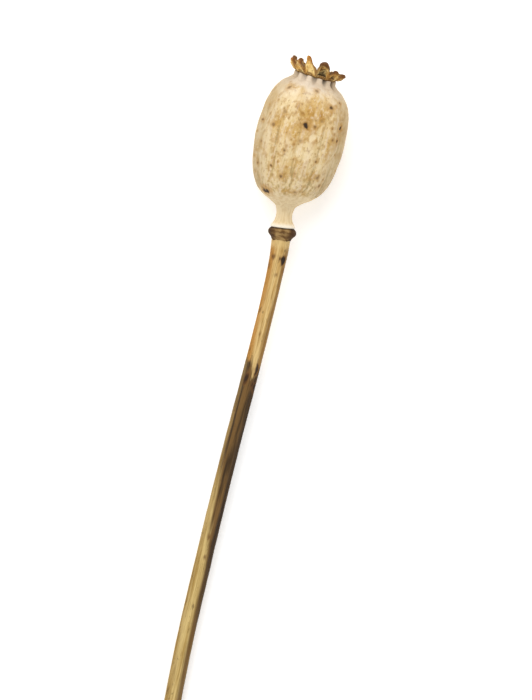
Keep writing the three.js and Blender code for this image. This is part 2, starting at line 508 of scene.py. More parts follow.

# %% [markdown]
# ## Stains on the capsule
# Weather leaves small dark spots of mould on a ripe capsule, and the sun tans it in soft patches. They could
# be a noise texture alone, but some are landmarks that the eye looks for, so those are listed one by one. The
# rest, and the whole far side, are scattered by dice that fall the same way every time.

# %% Place the stains
# Each stain is its turn in degrees, its station, its size and its depth of colour.
SEEN_STAINS = (
    (3, 33.8, 1.25, 1.0), (15, 34.0, 0.7, 0.5), (58, 34.8, 0.85, 0.95), (55, 31.0, 0.65, 0.95),
    (-51, 11.9, 1.35, 1.0), (36, 40.3, 0.95, 0.75), (57, 42.1, 0.6, 0.7), (-14, 17.1, 0.75, 0.6),
    (-33, 19.5, 0.65, 0.7), (-62, 19.1, 0.65, 0.6), (29, 23.8, 0.6, 0.6), (39, 19.0, 0.85, 0.5),
    (-16, 24.9, 0.6, 0.6), (-65, 32.0, 0.7, 0.6), (-40, 31.6, 0.8, 0.5), (1, 28.8, 0.8, 0.4),
    (-41, 43.1, 0.9, 0.5), (9, 44.2, 0.8, 0.5), (44, 30.9, 0.6, 0.5), (24, 35.9, 0.7, 0.4),
    (-30, 36.2, 0.8, 0.4), (-58, 25.6, 0.7, 0.45), (50, 16.5, 0.8, 0.5), (12, 13.2, 0.7, 0.45),
    (-42, 12.0, 1.15, 0.9),
)
# Tanned patches are larger and soft.
SEEN_TAN = (
    (-6, 35, 8.5, 1.0), (26, 38, 6, 0.8), (52, 33, 6, 0.9), (-42, 34, 5, 0.7), (-24, 19, 5, 0.6),
    (34, 19.5, 5, 0.6), (4, 25, 4, 0.3), (46, 41, 4.5, 0.8),
)
UNSEEN_STAINS = 40
SPECKS = 80
UNSEEN_TAN = 12
FAR_SIDE = (90, 270)
ALL_ROUND = (0, 360)
dice = random.Random(12)


def scattered(count, turns, stations, sizes, depths):
    """Marks at random, each drawn as turn, station, size and depth within these spans."""
    spans = (turns, stations, sizes, depths)
    return [tuple(dice.uniform(*span) for span in spans) for _ in range(count)]


stains = list(SEEN_STAINS)
stains += scattered(UNSEEN_STAINS, FAR_SIDE, (12, 44), (0.5, 0.9), (0.3, 0.9))
stains += scattered(SPECKS, ALL_ROUND, (11, 45), (0.3, 0.5), (0.15, 0.55))
tans = list(SEEN_TAN)
tans += scattered(UNSEEN_TAN, FAR_SIDE, (14, 42), (4, 8), (0.4, 1))
print(len(stains), "stains and", len(tans), "tanned patches on the capsule")

# %% Look up stains and tan
STAIN_REACH = 2.6
STAIN_RAGGED = 0.7


def on_capsule(turn, station):
    """A place on the straight capsule."""
    r = capsule_radius(station)
    return Vector((r * math.sin(math.radians(turn)), station, r * math.cos(math.radians(turn))))


stain_tree = KDTree(len(stains))
for i, (turn, station, _, _) in enumerate(stains):
    stain_tree.insert(on_capsule(turn, station), i)
stain_tree.balance()
tan_places = [(on_capsule(turn, station), size, depth) for turn, station, size, depth in tans]


def stain_at(p):
    """Darkness of the stains' hearts, and of the ochre halos around them."""
    heart = 0
    halo = 0
    ragged = 1 + STAIN_RAGGED * noise.noise(p * 1.3)
    for _, i, far in stain_tree.find_range(p, STAIN_REACH):
        _, _, size, depth = stains[i]
        share = far * ragged / size
        heart = max(heart, depth * (1 - ease(0.3, 1.0, share)))
        halo = max(halo, (0.3 + 0.7 * depth) * (1 - ease(0.6, 2.4, share)))
    return heart, halo


def tan_at(p):
    """How far the sun has tanned a place."""
    return max(
        depth * (1 - ease(0.1, 1.0, (p - middle).length / size)) for middle, size, depth in tan_places
    )


main_stain = on_capsule(*SEEN_STAINS[0][:2])
print("the main stain is", round(stain_at(main_stain)[0], 2), "dark in its middle")

# %% [markdown]
# ### Shape of the capsule
# Twelve ribs run up the shell, one for each ray, and drying has left lumps, a fine net and thin striae. Each
# stain has sunk a little. Displace modifiers with textures could do this, but here each point also gets marks
# for the finish: how high on a rib, how stained, how tanned and how deep in a hollow. The top leans a
# little, as the crown does.

# %% Shape the capsule
CAPSULE_MARKS = ("heart", "halo", "hollow", "rib", "tan")
LUMPS = 0.22
STRIAE = 0.08
NET = 0.08
FOLDS = 0.03
STAIN_DENT = 0.16
HOLLOW_DENT = 0.4
HOLLOW_SILL = 45.3
STRUT_RISE = 0.3
CROWN_TILT = 0.05
TILT_FROM = 40


def capsule_mesh():
    """The shell with ribs, struts, hollows, striae and dents."""
    bm = turned(capsule_outline, CAPSULE_STEPS)
    heart, halo, hollow, rib, tan = (bm.verts.layers.float.new(name) for name in CAPSULE_MARKS)
    for v in bm.verts:
        p = v.co
        r = math.hypot(p.x, p.z)
        if r < ON_AXIS:
            continue
        s = p.y
        around = Vector((p.x / r, 0, p.z / r))
        wave = -math.cos(RAYS * turn_of(p))
        uneven = 1 + 0.5 * noise.noise(around * 2.1 + Vector((0, s * 0.02, 7)))
        v[rib] = 0.5 + 0.5 * wave
        v[tan] = tan_at(p)
        v[heart], v[halo] = stain_at(p)
        sill = HOLLOW_SILL + 0.8 * noise.noise(around * 3 + Vector((0, 3, 0)))
        v[hollow] = ease(sill - 0.3, sill + 1.7, s - 2 * v[rib]) * (1 - ease(0.15, 0.75, v[rib]))
        body = ease(9.5, 13, s) * (1 - 0.6 * ease(44, 47, s))
        lumps = LUMPS * noise.noise(p * 0.13 + Vector((3, 0, 0)))
        striae = STRIAE * noise.noise(around * 19 + Vector((0, s * 0.05, 0)))
        net = NET * noise.noise(Vector((p.x * 0.5, p.y * 0.35, p.z * 0.5)))
        folds = FOLDS * noise.noise(around * 9 + Vector((0, s * 0.1, 4)))
        relief = rib_height(s) * wave * uneven + body * (lumps + striae + net) + folds
        relief -= STAIN_DENT * v[heart] + HOLLOW_DENT * v[hollow]
        push_out(p, relief * r / capsule_radius(s))
        p.y += STRUT_RISE * v[rib] * ease(5, 6, r) * ease(46.5, CAPSULE_TOP, s)
        p.y -= CROWN_TILT * p.x * ease(TILT_FROM, CAPSULE_TOP, s)
    return bm


capsule_bm = capsule_mesh()
print("capsule has", len(capsule_bm.verts), "points")

# %% [markdown]
# ### Finish of the capsule
# Straw cream at heart, clouded with ochre, streaked along its length, and bleached by a waxy bloom near the
# crown and on the ribs. Specks of mould have dark hearts and ochre halos, and the foot and neck are clean and
# pale. One noise with a colour ramp would give an even marble. Separate layers let each thing keep its own
# size and its own place.

# %% Straw ground
STRAW = colour(240, 215, 164)
OCHRE = colour(209, 168, 94)
MOTTLE = colour(188, 140, 68)
FLECK = colour(156, 106, 46)
BLEACHED = colour(250, 233, 200)


def straw_ground(tree, tan, clouds, blotches, flecks):
    """Cream clouded with ochre and flecked dark and pale. Tanned places have more of it."""
    ripe = plus(tree, clouds, times(tree, tan, 0.12))
    mottle = plus(tree, blotches, times(tree, tan, 0.05))
    speckle = plus(tree, flecks, times(tree, tan, 0.04))
    tint = laid(tree, mask(tree, ripe, 0.42, 0.7), STRAW, OCHRE)
    tint = washed(tree, tint, mask(tree, mottle, 0.5, 0.68), 0.65, MOTTLE)
    tint = washed(tree, tint, mask(tree, speckle, 0.56, 0.74), 0.6, FLECK)
    return washed(tree, tint, mask(tree, flecks, 0.46, 0.3), 0.45, BLEACHED)


# %% Streaks and bloom
STREAK = colour(174, 148, 96)
LOW_PAINTED_SHADE = colour(176, 150, 100)
BLOOM = colour(243, 226, 202)
TOP_BLOOM = colour(228, 212, 192)
FLANK_PAINTED_SHADE = colour(180, 156, 118)


def streaked(tree, tint, station, streaks):
    """Darker lines along the shell, strongest low down, and painted shade over the lower part."""
    low = mask(tree, station, 28, 13)
    depth = plus(tree, 0.15, times(tree, low, 0.5))
    tint = laid(tree, times(tree, mask(tree, streaks, 0.52, 0.64), depth), tint, STREAK)
    # Painted shade: the lower part of the capsule is washed darker.
    return washed(tree, tint, low, 0.15, LOW_PAINTED_SHADE)


def bloomed(tree, tint, station, flank, rib, clouds, streaks):
    """Pale waxy bloom on the ribs and near the crown, and painted shade that greys the flanks."""
    crest = times(tree, mask(tree, rib, 0.75, 1.0), mask(tree, streaks, 0.62, 0.45))
    pale = calc(tree, "MAXIMUM", mask(tree, streaks, 0.45, 0.34), times(tree, crest, 0.6))
    bloom = times(tree, mask(tree, station, 38, 45), mask(tree, clouds, 0.66, 0.42))
    bloom = calc(tree, "MAXIMUM", bloom, times(tree, pale, 0.55))
    tint = washed(tree, tint, bloom, 0.7, BLOOM)
    tint = washed(tree, tint, mask(tree, station, 43, 45.8), 0.75, TOP_BLOOM)
    # Painted shade: both flanks greyer, as if turned away from the light.
    return washed(tree, tint, mask(tree, calc(tree, "ABSOLUTE", flank), 0.5, 0.95), 0.55, FLANK_PAINTED_SHADE)


# %% Neck, furrows and stains
NECK = colour(237, 215, 173)
NECK_STREAK = colour(225, 199, 153)
LIP = colour(252, 242, 222)
FURROW = colour(160, 134, 84)
HALO = colour(190, 142, 70)
STAIN = colour(112, 76, 36)
STAIN_HEART = colour(56, 42, 28)
HOLLOW_PAINTED_SHADE = colour(92, 78, 64)


def necked(tree, tint, station, streaks):
    """The clean foot and neck, with a white lip above the ring."""
    clean = mask(tree, plus(tree, station, times(tree, streaks, 2.4)), 14.2, 12.4)
    tint = laid(tree, clean, tint, laid(tree, mask(tree, streaks, 0.38, 0.62), NECK, NECK_STREAK))
    return washed(tree, tint, mask(tree, station, 3.2, 2.0), 0.9, LIP)


def stained(tree, tint, station, flank, streaks, marks):
    """Furrows between the ribs, halos and hearts of the stains, and painted shade in the hollows, darker on
    the right flank.
    """
    heart, halo, hollow, rib, _ = marks
    furrow = times(tree, mask(tree, rib, 0.16, 0.0), mask(tree, streaks, 0.42, 0.58))
    furrow = times(tree, furrow, mask(tree, station, 42, 30))
    furrow = times(tree, furrow, mask(tree, station, 12.5, 15))
    tint = washed(tree, tint, furrow, 0.5, FURROW)
    tint = washed(tree, tint, halo, 0.8, HALO)
    tint = laid(tree, heart, tint, STAIN)
    tint = laid(tree, mask(tree, heart, 0.3, 1.0), tint, STAIN_HEART)
    # Painted shade in the hollows under the crown, deeper towards the right flank.
    hollow_shade_depth = plus(tree, 0.3, times(tree, mask(tree, flank, -0.6, 0.6), 0.55))
    return laid(tree, times(tree, hollow, hollow_shade_depth), tint, HOLLOW_PAINTED_SHADE)


# %% Straw finish
def capsule_finish():
    """Mottled straw with bloom, streaks and specks."""
    material, tree = finish("straw shell")
    grown = marked(tree, "grown", "Vector")
    marks = [marked(tree, name) for name in CAPSULE_MARKS]
    _, _, _, rib, tan = marks
    station = station_of(tree, grown)
    flank = flank_of(tree, grown)
    clouds = cloud(tree, grown, (0.16, 0.11, 0.16), 4, 0.55, 0.4)
    blotches = cloud(tree, grown, (0.5, 0.36, 0.5), 3, 0.5, 0.6)
    flecks = cloud(tree, grown, (1.2, 0.85, 1.2), 2, 0.5)
    streaks = cloud(tree, grown, (1.3, 0.05, 1.3), 3, 0.55)
    grain = cloud(tree, grown, (3.2, 1.6, 3.2), 3, 0.6)

    tint = straw_ground(tree, tan, clouds, blotches, flecks)
    tint = streaked(tree, tint, station, streaks)
    tint = bloomed(tree, tint, station, flank, rib, clouds, streaks)
    tint = necked(tree, tint, station, streaks)
    tint = stained(tree, tint, station, flank, streaks, marks)
    normal = raised(tree, blotches, 0.0005, raised(tree, grain, 0.0001))
    shade(material, tint, mask(tree, grain, -0.6, 1.2), normal)
    return material


grow(capsule_bm)
finished("capsule_shell", capsule_bm, "capsule", capsule_finish())

# %% [markdown]
# ## Ring
# The ring is the scar of the flower: a short corky collar, dark as bark, whose lower edge is torn into small
# tongues that cling to the stem. It could be a torus, cut in half. It is spun like the capsule instead, so
# that its skirt can hang free around the stem, and its lowest rows are drawn down unevenly.

# %% Shape the ring
RING_STEPS = 216
RING_PITCH = 0.16
RING_SKIRT = -2.15
RING_INSIDE = ((0, RING_FOOT), (2.6, RING_FOOT), (2.9, RING_FOOT - 0.06), (2.92, RING_SKIRT))
RING_CORE = 2.8
TONGUE = 0.6
CORK = 0.1
CORK_GRAIN = 0.05
ring_radius = through((
    (RING_SKIRT, 2.98), (-1.75, 3.08), (-1.35, 3.35), (-0.95, 3.75), (-0.5, 4.1), (0, 4.25), (0.45, 4.2),
    (0.85, 3.98), (1.2, 3.65), (RING_TOP, 3.3),
))


def ring_mesh():
    """The collar with cork, scars and torn tongues. Its skirt hangs free around the top of the stem."""
    skin = outline_of(RING_SKIRT, RING_TOP, ring_radius, RING_PITCH)[1:]
    bm = turned(list(RING_INSIDE) + skin, RING_STEPS)
    for v in bm.verts:
        p = v.co
        r = math.hypot(p.x, p.z)
        if r < RING_CORE:
            continue
        around = Vector((p.x / r, 0, p.z / r))
        torn = max(0, noise.noise(around * 2.6 + Vector((0, 2, 0))) + 0.4 * noise.noise(around * 7))
        cork = CORK * noise.noise(Vector((p.x * 0.9, p.y * 2.2, p.z * 0.9)))
        cork += CORK_GRAIN * noise.noise(p * 3.4)
        push_out(p, cork * ease(2.95, 3.2, r))
        p.y -= TONGUE * torn * ease(-0.9, -2.1, p.y)
    return bm


ring_bm = ring_mesh()
print("ring has", len(ring_bm.verts), "points")

# %% [markdown]
# ### Finish of the ring
# Cork weathers from brown to nearly black, first where it was torn and along its rim. A plain dark brown
# would look like a painted bead. Patches and grain in layers keep it looking like bark, painted shade
# darkens its flanks and a painted shadow lies under the lip of the capsule.

# %% Corky finish
CORK_DARK = colour(112, 80, 42)
CORK_PALE = colour(174, 140, 88)
CORK_FLANK_SHADE = colour(60, 34, 14)
CORK_PIT = colour(70, 48, 26)
CORK_RIM = colour(70, 44, 20)
CORK_SHADOW_UNDER_LIP = colour(58, 38, 20)


def ring_finish():
    """Brown cork, paler in the middle, with painted shade that makes its flanks nearly black and a painted
    shadow under the lip of the capsule.
    """
    material, tree = finish("dark cork")
    grown = marked(tree, "grown", "Vector")
    station = station_of(tree, grown)
    cork = cloud(tree, grown, (0.5, 0.9, 0.5), 3, 0.5)
    grain = cloud(tree, grown, (3.4, 1.8, 3.4), 3, 0.6)
    flank = mask(tree, calc(tree, "ABSOLUTE", flank_of(tree, grown)), 0.4, 0.85)
    rim = times(tree, mask(tree, station, -0.35, 0.1), mask(tree, station, 0.9, 0.2))
    tint = laid(tree, mask(tree, cork, 0.38, 0.62), CORK_DARK, CORK_PALE)
    # Painted shade: both flanks nearly black.
    tint = washed(tree, tint, flank, 0.85, CORK_FLANK_SHADE)
    tint = washed(tree, tint, mask(tree, grain, 0.5, 0.7), 0.35, CORK_PIT)
    tint = washed(tree, tint, rim, 0.45, CORK_RIM)
    # Painted shadow: a dark band on top of the ring, under the lip of the capsule.
    tint = washed(tree, tint, mask(tree, station, 0.9, 1.3), 0.7, CORK_SHADOW_UNDER_LIP)
    shade(material, tint, mask(tree, grain, -1.2, 0.9), raised(tree, grain, 0.00015))
    return material


grow(ring_bm)
finished("ring_collar", ring_bm, "receptacle_ring", ring_finish())

# %% [markdown]
# ## Stem
# The stem is a dry reed, a little thicker at its cut end. Drying has drawn it into fine ridges. A leaf joint
# swells it above the cut, with a crescent scar and the torn stub of its leaf, and the slanting cut shows a
# pale wall around soft pith. A bevelled curve would give a smooth hose. One long outline is spun instead and
# ridged by formulas, and the stub is joined on.

# %% Outline of the stem
STEM_STEPS = 72
STEM_PITCH = 0.42
STEM_END = RING_FOOT - GAP
JOINT_STATION = -168
JOINT_SWELL = 0.65
JOINT_REACH = 5
CUT_EDGE = 0.35
stem_radius = through((
    (CUT_END, 2.75), (-150, 2.6), (-60, 2.5), (-25, 2.42), (-12, 2.55), (STEM_END, 2.85),
))
# The cut from its middle out, as distance from the axis and depth: pith, the step around it, the wall.
CUT_FACE = (
    (0, 0.6), (0.3, 0.64), (0.6, 0.72), (0.85, 0.8), (1.02, 0.78), (1.12, 0.55), (1.2, 0.25), (1.32, 0.06),
    (1.55, 0), (1.85, 0.03), (2.15, 0), (2.4, 0.03), (2.6, 0.08), (2.7, 0.2),
)


def swell(station):
    """How much the leaf joint thickens the stem."""
    return JOINT_SWELL * math.exp(-(((station - JOINT_STATION) / JOINT_REACH) ** 2))


def stem_outline():
    """The face of the cut, then the skin up to the ring."""
    first = CUT_END + CUT_EDGE
    count = round((STEM_END - CUT_END) / STEM_PITCH)
    stations = [first + (STEM_END - CUT_END - CUT_EDGE) * i / count for i in range(count + 1)]
    face = [(r, CUT_END + deep) for r, deep in CUT_FACE]
    skin = [(stem_radius(s) + swell(s), s) for s in stations]
    return face + skin + [(0, STEM_END)]


print("stem outline has", len(stem_outline()), "points")

# %% [markdown]
# ### Shape of the stem
# Eight soft ridges run along the reed, with fibres and wrinkles between them. They fade out under the ring,
# where the real stem is smooth. Noise that is stretched along the stem makes them, because a modifier's
# texture would not follow the bend. The cut leans, so its points slide along the stem by their height.

# %% Shape the stem
RIDGES = 8
RIDGE_HEIGHT = 0.09
FIBRE_HEIGHT = 0.07
WRINKLE_HEIGHT = 0.035
BUMP_HEIGHT = 0.05
SCAR_HEIGHT = 0.32
SCAR_WIDTH = 0.5
STUB_TURN = -1.05
CUT_SLANT = 0.55
CUT_LENGTH = 12
CUT_DEPTH = 0.9


def scar(p):
    """The raised crescent under the leaf joint, highest under the leaf."""
    facing = math.cos(turn_of(p) - STUB_TURN)
    line = JOINT_STATION - 1 - 1.2 * facing
    return SCAR_HEIGHT * (0.35 + 0.65 * max(0, facing)) * math.exp(-(((p.y - line) / SCAR_WIDTH) ** 2))


def stem_mesh():
    """The ridged stem with its leaf joint and a slanting cut."""
    bm = turned(stem_outline(), STEM_STEPS)
    for v in bm.verts:
        p = v.co
        r = math.hypot(p.x, p.z)
        s = p.y
        if r > ON_AXIS:
            around = Vector((p.x / r, 0, p.z / r))
            skin = ease(2.2, 2.35, r)
            fade = ease(-3, -12, s)
            waver = 0.6 * noise.noise(Vector((0, s * 0.02, 0)))
            ridges = -RIDGE_HEIGHT * math.cos(RIDGES * turn_of(p) + waver)
            fibres = FIBRE_HEIGHT * noise.noise(around * 4.2 + Vector((0, s * 0.03, 0)))
            wrinkles = WRINKLE_HEIGHT * noise.noise(around * 11 + Vector((0, s * 0.16, 0)))
            bumps = BUMP_HEIGHT * noise.noise(Vector((p.x * 0.4, p.y * 0.25, p.z * 0.4)))
            if s < CUT_END + CUT_DEPTH:
                p.y += 0.1 * noise.noise(p * 1.8) + 0.06 * noise.noise(p * 5)
            push_out(p, skin * (fade * (ridges + fibres) + wrinkles + bumps + scar(p)))
        p.y += CUT_SLANT * p.z * max(0, 1 - (s - CUT_END) / CUT_LENGTH)
    return bm


reed_bm = stem_mesh()
print("stem has", len(reed_bm.verts), "points")

# %% [markdown]
# ### Stub of the leaf
# The leaf tore away and left a short peg with a hollow, ragged end. It could be extruded from the stem's own
# faces, but its root would follow their ridges. It is spun as a small spindle, torn by noise and leaned over.

# %% Shape the stub
STUB_LENGTH = 3.4
STUB_RADIUS = 1.3
STUB_LEAN = 0.75
STUB_STEPS = 24
STUB_TEAR = 0.9
STUB_ROUGH = 0.1
# Shares of the radius and of the length, from the root to the hollow in the torn end.
STUB_OUTLINE = (
    (0, 0), (1, 0), (0.9, 0.4), (0.75, 0.7), (0.66, 0.9), (0.6, 1), (0.36, 0.99), (0.2, 0.93), (0, 0.92),
)


def stub_mesh():
    """What is left of the leaf stalk: a tapering peg with a torn, hollow end. Half is sunk in the stem."""
    end = 2 * STUB_LENGTH
    bm = turned([(wide * STUB_RADIUS, far * end) for wide, far in STUB_OUTLINE], STUB_STEPS)
    bmesh.ops.subdivide_edges(bm, edges=bm.edges, cuts=3, use_grid_fill=True)
    for v in bm.verts:
        p = v.co
        torn = noise.noise(Vector((p.x * 1.6, 4, p.z * 1.6)))
        push_out(p, STUB_ROUGH * noise.noise(Vector((p.x * 1.5, p.y * 0.5, p.z * 1.5))))
        p.y += STUB_TEAR * torn * ease(0.6 * end, end, p.y)
    lean = Matrix.Rotation(STUB_TURN, 4, "Y") @ Matrix.Rotation(STUB_LEAN, 4, "X")
    bmesh.ops.transform(bm, matrix=Matrix.Translation((0, JOINT_STATION, 0)) @ lean, verts=bm.verts)
    return bm


stub_bm = stub_mesh()
print("stub has", len(stub_bm.verts), "points")

# %% [markdown]
# ### One skin for stem and stub
# A leaf stalk grows out of its stem without a seam. Two crossing shells would leave hidden faces inside, so a
# Boolean union makes one closed skin of them. It also leaves slivers along the seam, which are merged.

# %% Join the stub to the stem
SEAM_MERGE = 0.01


def joined(bm, other):
    """One closed skin from two that cross."""
    pieces = []
    for part in (bm, other):
        mesh = bpy.data.meshes.new("half")
        part.to_mesh(mesh)
        part.free()
        pieces.append(bpy.data.objects.new("half", mesh))
        bpy.context.collection.objects.link(pieces[-1])
    union = pieces[0].modifiers.new("join", "BOOLEAN")
    union.operation = "UNION"
    union.object = pieces[1]
    result = bmesh.new()
    result.from_object(pieces[0], bpy.context.evaluated_depsgraph_get())
    for piece in pieces:
        mesh = piece.data
        bpy.data.objects.remove(piece)
        bpy.data.meshes.remove(mesh)
    bmesh.ops.remove_doubles(result, verts=result.verts, dist=SEAM_MERGE)
    bmesh.ops.dissolve_degenerate(result, edges=result.edges, dist=SEAM_MERGE)
    needless = [v for v in result.verts if len(v.link_edges) == 2]
    bmesh.ops.dissolve_verts(result, verts=needless)
    bmesh.ops.recalc_face_normals(result, faces=result.faces)
    return result


stem_bm = joined(reed_bm, stub_bm)
print("joined stem has", len(stem_bm.verts), "points")

# %% [markdown]
# ### Spots on the stem
# Dark spots sit on the reed, longer than wide because they spread along its fibres. A noise texture would
# scatter them anywhere, so each is placed, and its darkness is stored on the mesh for the finish to read.

# %% Place the spots
# Each spot is its turn in degrees, its station, its size and its depth of colour.
SPOTS = (
    (35, -8.0, 1.1, 1.0), (-38, -7.5, 0.9, 0.65), (-60, -10.7, 0.9, 0.55), (11, -12.6, 0.6, 0.55),
    (62, -11, 1.0, 0.5), (-5, -31, 0.7, 0.5), (40, -41.5, 1.2, 0.9), (-22, -45, 1.1, 0.9),
    (60, -47, 1.3, 0.9), (0, -94, 0.7, 0.6), (3, -100, 0.7, 0.6), (-48, -156, 0.8, 0.6),
    (140, -20, 0.8, 0.8), (200, -60, 0.9, 0.7), (100, -110, 0.8, 0.7), (20, -181, 0.8, 0.7),
)
SPOT_STRETCH = 1.5
SPOT_RAGGED = 0.8


def mark_spots(bm):
    """Stores how dark the spots are at each point of the straight stem."""
    layer = bm.verts.layers.float.new("spot")
    for v in bm.verts:
        p = v.co
        for turn, station, size, depth in SPOTS:
            if abs(p.y - station) < 3 * size * SPOT_STRETCH:
                angle = turn_of(p) - math.radians(turn)
                across = stem_radius(station) * 2 * math.sin(angle / 2)
                far = math.hypot(across, (p.y - station) / SPOT_STRETCH) / size
                far *= 1 + SPOT_RAGGED * noise.noise(Vector((p.x * 1.2, p.y * 0.5, p.z * 1.2)))
                v[layer] = max(v[layer], depth * (1 - ease(0.3, 1.2, far)))


mark_spots(stem_bm)
print(len(SPOTS), "spots on the stem")

# %% [markdown]
# ### Finish of the stem
# The reed is gold near the ring, weathered dark in its middle stretch and tan below, always browner on its
# flanks, partly in its own colour and partly as painted shade; in the dark stretch a painted highlight runs
# along the left flank. A colour ramp along the stem would change in straight bands. Here the station is
# shifted by noise first, so that one colour runs into the next in ragged tongues, as the real skin dries and
# peels.

# %% Colours along the stem
GOLD = colour(230, 198, 134)
GOLD_STREAK = colour(196, 154, 84)
GOLD_LEFT_BROWN_AND_SHADE = colour(182, 124, 46)
GOLD_RIGHT_BROWN_AND_SHADE = colour(132, 92, 38)
GOLD_TOP = colour(226, 194, 130)
DARK = colour(122, 90, 46)
DARK_STREAK = colour(58, 40, 17)
DARK_LEFT_HIGHLIGHT = colour(158, 128, 76)
DARK_RIGHT_BROWN_AND_SHADE = colour(44, 28, 12)
TAN = colour(218, 190, 124)
TAN_STREAK = colour(172, 138, 70)
TAN_LEFT_BROWN_AND_SHADE = colour(140, 106, 52)
TAN_RIGHT_BROWN_AND_SHADE = colour(92, 58, 22)


def reed_ground(tree, grown, streaks, patches):
    """Gold, then dark, then tan, with ragged ends between them. Each has browner flanks, partly painted
    shade; the dark stretch has a painted highlight on its left.
    """
    station = station_of(tree, grown)
    even = flank_of(tree, grown)
    wander = calc(tree, "SUBTRACT", patches, 0.5)
    flank = plus(tree, even, times(tree, wander, 1.2))
    left = mask(tree, flank, -0.2, -0.8)
    right = mask(tree, flank, 0.4, 0.85)
    edge = calc(tree, "MAXIMUM", right, mask(tree, even, 0.1, 0.65))

    gold = laid(tree, mask(tree, streaks, 0.38, 0.64), GOLD, GOLD_STREAK)
    # Flanks of the gold stretch: own brown and painted shade, the right darker.
    gold = washed(tree, gold, left, 0.8, GOLD_LEFT_BROWN_AND_SHADE)
    gold = washed(tree, gold, right, 0.8, GOLD_RIGHT_BROWN_AND_SHADE)
    gold = washed(tree, gold, mask(tree, station, -5.5, -3.5), 0.7, GOLD_TOP)
    dark = laid(tree, mask(tree, streaks, 0.38, 0.62), DARK, DARK_STREAK)
    # Painted highlight: the left flank of the dark stretch is paler.
    dark = washed(tree, dark, mask(tree, flank, -0.65, -1.0), 0.6, DARK_LEFT_HIGHLIGHT)
    # Right flank of the dark stretch: own brown and painted shade.
    dark = washed(tree, dark, right, 0.8, DARK_RIGHT_BROWN_AND_SHADE)
    tan = laid(tree, mask(tree, streaks, 0.36, 0.64), TAN, TAN_STREAK)
    # Flanks of the tan stretch: own brown and painted shade, the right darker.
    tan = washed(tree, tan, left, 0.4, TAN_LEFT_BROWN_AND_SHADE)
    tan = washed(tree, tan, edge, 0.8, TAN_RIGHT_BROWN_AND_SHADE)

    ragged = plus(tree, station, times(tree, wander, 34))
    healed = plus(tree, plus(tree, ragged, times(tree, flank, 22)), times(tree, edge, 8))
    tint = laid(tree, mask(tree, ragged, -40, -44), gold, dark)
    return laid(tree, mask(tree, healed, -76, -102), tint, tan)


# %% Wall and pith of the cut
WALL = colour(216, 190, 138)
WALL_CELL = colour(188, 154, 100)
WALL_RIND = colour(150, 112, 62)
PITH = colour(240, 226, 194)
PITH_CELL = colour(206, 182, 138)


def with_cut(tree, grown, tint):
    """The pale wall and the paler pith, laid over the reed where it was cut."""
    x, y, z = node(tree, "ShaderNodeSeparateXYZ", (("Vector", grown),)).outputs
    deep = calc(tree, "SUBTRACT", calc(tree, "SUBTRACT", y, times(tree, z, CUT_SLANT)), CUT_END)
    far = from_axis(tree, x, z)
    cells = cloud(tree, grown, (3.0, 3.0, 3.0), 3, 0.6)
    wall = laid(tree, mask(tree, cells, 0.4, 0.64), WALL, WALL_CELL)
    wall = washed(tree, wall, mask(tree, far, 2.1, 2.5), 0.5, WALL_RIND)
    pith = laid(tree, mask(tree, cells, 0.36, 0.66), PITH, PITH_CELL)
    wall = laid(tree, mask(tree, far, 1.3, 1.05), wall, pith)
    cut = times(tree, mask(tree, deep, 1.6, 1.2), mask(tree, far, 2.62, 2.4))
    return laid(tree, calc(tree, "MAXIMUM", cut, mask(tree, deep, 0.4, 0.2)), tint, wall)


# %% Reed finish
SPECK = colour(92, 66, 34)
FIBRE = colour(112, 82, 42)
SPOT = colour(120, 76, 30)
SPOT_HEART = colour(44, 28, 12)


def stem_finish():
    """Gold, dark and tan reed with specks, fibres, spots and the face of the cut."""
    material, tree = finish("dry reed")
    grown = marked(tree, "grown", "Vector")
    spot = marked(tree, "spot")
    streaks = cloud(tree, grown, (1.0, 0.045, 1.0), 4, 0.6)
    patches = cloud(tree, grown, (0.35, 0.04, 0.35), 4, 0.6, 0.3)
    specks = cloud(tree, grown, (1.0, 0.35, 1.0), 4, 0.6)
    fibres = cloud(tree, grown, (4.0, 0.18, 4.0), 3, 0.6)
    tint = reed_ground(tree, grown, streaks, patches)
    tint = washed(tree, tint, mask(tree, specks, 0.6, 0.7), 0.6, SPECK)
    tint = washed(tree, tint, mask(tree, fibres, 0.52, 0.7), 0.35, FIBRE)
    tint = laid(tree, spot, tint, SPOT)
    tint = laid(tree, mask(tree, spot, 0.4, 1.0), tint, SPOT_HEART)
    tint = with_cut(tree, grown, tint)
    shade(material, tint, mask(tree, fibres, -0.7, 1.3), raised(tree, fibres, 0.0002))
    return material


grow(stem_bm)
finished("stem_reed", stem_bm, "stem", stem_finish())

# %% [markdown]
# ## Crown
# Twelve stigma rays run out from the middle of a dished disc, as low velvet ridges, and curl up past its rim
# like fingers. Each has grown its own way, so each has its own row of numbers. The rays could be copies of
# one ray around the disc, but even copies look stamped. Each one is a spun spindle, flattened, folded along
# its middle, wrinkled and bent along its own path.

# %% Outline and path of the rays
RAY_LENGTH = 11.2
RAY_RIDGE = 0.3
DISC_TOP = 0.5
ray_width = through((
    (0, 0.3), (3, 0.6), (5.4, 1.4), (7, 1.95), (8.5, 2.05), (9.2, 1.5), (9.8, 1.15), (10.5, 1.05),
    (10.95, 0.8), (RAY_LENGTH, 0.35),
))
ray_out = through(((0, 0.8), (0.265, 3.4), (0.51, 5.8), (0.7, 7.4), (0.856, 8.1), (1, 8.3)))
ray_rise = through((
    (0, 0.6), (0.265, 0.55), (0.51, 0.5), (0.6, 0.75), (0.7, 1.45), (0.856, 3.0), (1, 4.4),
))
